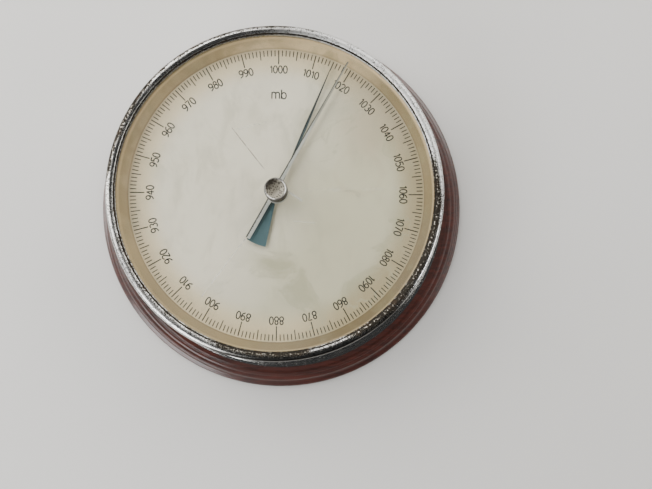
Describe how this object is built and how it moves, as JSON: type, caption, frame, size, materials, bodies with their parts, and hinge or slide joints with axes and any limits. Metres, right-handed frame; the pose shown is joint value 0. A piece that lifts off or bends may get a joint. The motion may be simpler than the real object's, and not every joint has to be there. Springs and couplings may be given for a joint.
{
  "type": "aneroid barometer",
  "caption": "Round aneroid barometer: white dial, blued indicator, set hand with centre knob under glass, chromed flanged drum on a turned glossy wooden board.",
  "frame": {"origin": "centre of the board's underside, where the barometer rests or meets the wall", "axes": "+Z out through the dial and glass, +Y towards the top of the scale, which is also up when it hangs on its keyhole"},
  "size_m": [0.2111, 0.2112, 0.0665],
  "materials": {
    "board_wood": "gloss",
    "plate_brass": "satin",
    "chrome_case": "polished",
    "chrome_bezel": "pitted polish",
    "glass": "polished",
    "seal_rubber": "matte",
    "cream_ring": "satin",
    "dial_white": "satin",
    "movement_brass": "satin",
    "blued_screws": "polished",
    "spring_steel": "satin",
    "capsule_metal": "satin",
    "polished_steel": "polished",
    "blued_hand": "satin",
    "polished_nickel": "polished",
    "knob_chrome": "pitted polish"
  },
  "bodies": {
    "case": {"board": "board_wood", "hanging_plate": "plate_brass", "hanging_screws": "plate_brass", "drum": "chrome_case", "flange_screws": "chrome_case", "bezel": "chrome_bezel", "glass": "glass", "glass_seal": "seal_rubber", "slanted_ring": "cream_ring", "dial": "dial_white", "dial_pillars": "movement_brass", "movement_plate": "movement_brass", "movement_screws": "blued_screws", "spring_bridge": "movement_brass", "bridge_screws": "blued_screws", "spring_clamp": "movement_brass", "clamp_screws": "blued_screws", "main_spring": "spring_steel", "vacuum_capsule": "capsule_metal", "capsule_stud": "movement_brass", "rocker_brackets": "movement_brass", "bracket_screws": "blued_screws", "train_plate": "movement_brass", "train_bridge": "movement_brass", "train_pillars": "movement_brass", "train_screws": "blued_screws", "hairspring": "spring_steel", "hairspring_stud": "polished_steel", "glass_bush": "movement_brass"},
    "sector": {"sector": "movement_brass", "sector_arbor": "polished_steel"},
    "indicator": {"pointer_arbor": "polished_steel", "hairspring_collet": "movement_brass", "hand_collet": "blued_hand", "indicator_hand": "blued_hand"},
    "rocker": {"rocking_shaft": "polished_steel"},
    "lever": {"main_lever": "movement_brass"},
    "link": {"link_rod": "polished_steel"},
    "post": {"capsule_post": "movement_brass"},
    "setter": {"set_knob": "knob_chrome", "set_spindle": "polished_nickel", "set_hub": "polished_nickel", "set_hand": "polished_nickel"},
    "adjuster": {"setting_screw": "polished_steel"}
  },
  "joints": [
    {"name": "sector_turn", "type": "hinge", "parent": "case", "child": "sector", "pos_m": [0.036, -0.0165, 0.044], "axis": [0, 0, 1], "range_deg": [-23.2, 11.2]},
    {"name": "indicator_spin", "type": "hinge", "parent": "case", "child": "indicator", "pos_m": [0, 0, 0.044], "axis": [0, 0, 1], "range_deg": [-112.5, 232.5], "deforming": ["hairspring"]},
    {"name": "rocker_turn", "type": "hinge", "parent": "case", "child": "rocker", "pos_m": [0.036, 0, 0.03], "axis": [0, 1, 0], "range_deg": [-6.2, 13]},
    {"name": "lever_lift", "type": "hinge", "parent": "case", "child": "lever", "pos_m": [-0.048, 0, 0.0355], "axis": [0, -1, 0], "range_deg": [-0.9, 1.8], "deforming": ["main_spring"]},
    {"name": "link_turn", "type": "hinge", "parent": "lever", "child": "link", "pos_m": [0.026, 0.004, 0.037], "axis": [0, 1, 0], "range_deg": [-0.9, 1.8]},
    {"name": "capsule_lift", "type": "slide", "parent": "case", "child": "post", "axis": [0, 0, 1], "range_m": [-0.0006, 0.00115], "deforming": ["vacuum_capsule"]},
    {"name": "set_hand_turn", "type": "hinge", "parent": "case", "child": "setter", "pos_m": [0, 0, 0.057], "axis": [0, 0, 1], "continuous": true},
    {"name": "setting_screw_turn", "type": "hinge", "parent": "case", "child": "adjuster", "pos_m": [-0.0525, 0, 0.02], "axis": [0, 0, 1], "range_deg": [-90, 90]}
  ],
  "couplings": [
    {"joint": "indicator_spin", "follows": "sector_turn", "ratio": -10},
    {"joint": "rocker_turn", "follows": "sector_turn", "ratio": -0.55},
    {"joint": "lever_lift", "follows": "sector_turn", "ratio": -0.0743},
    {"joint": "link_turn", "follows": "sector_turn", "ratio": -0.0743},
    {"joint": "capsule_lift", "follows": "sector_turn", "m_per_rad": -0.002527}
  ]
}
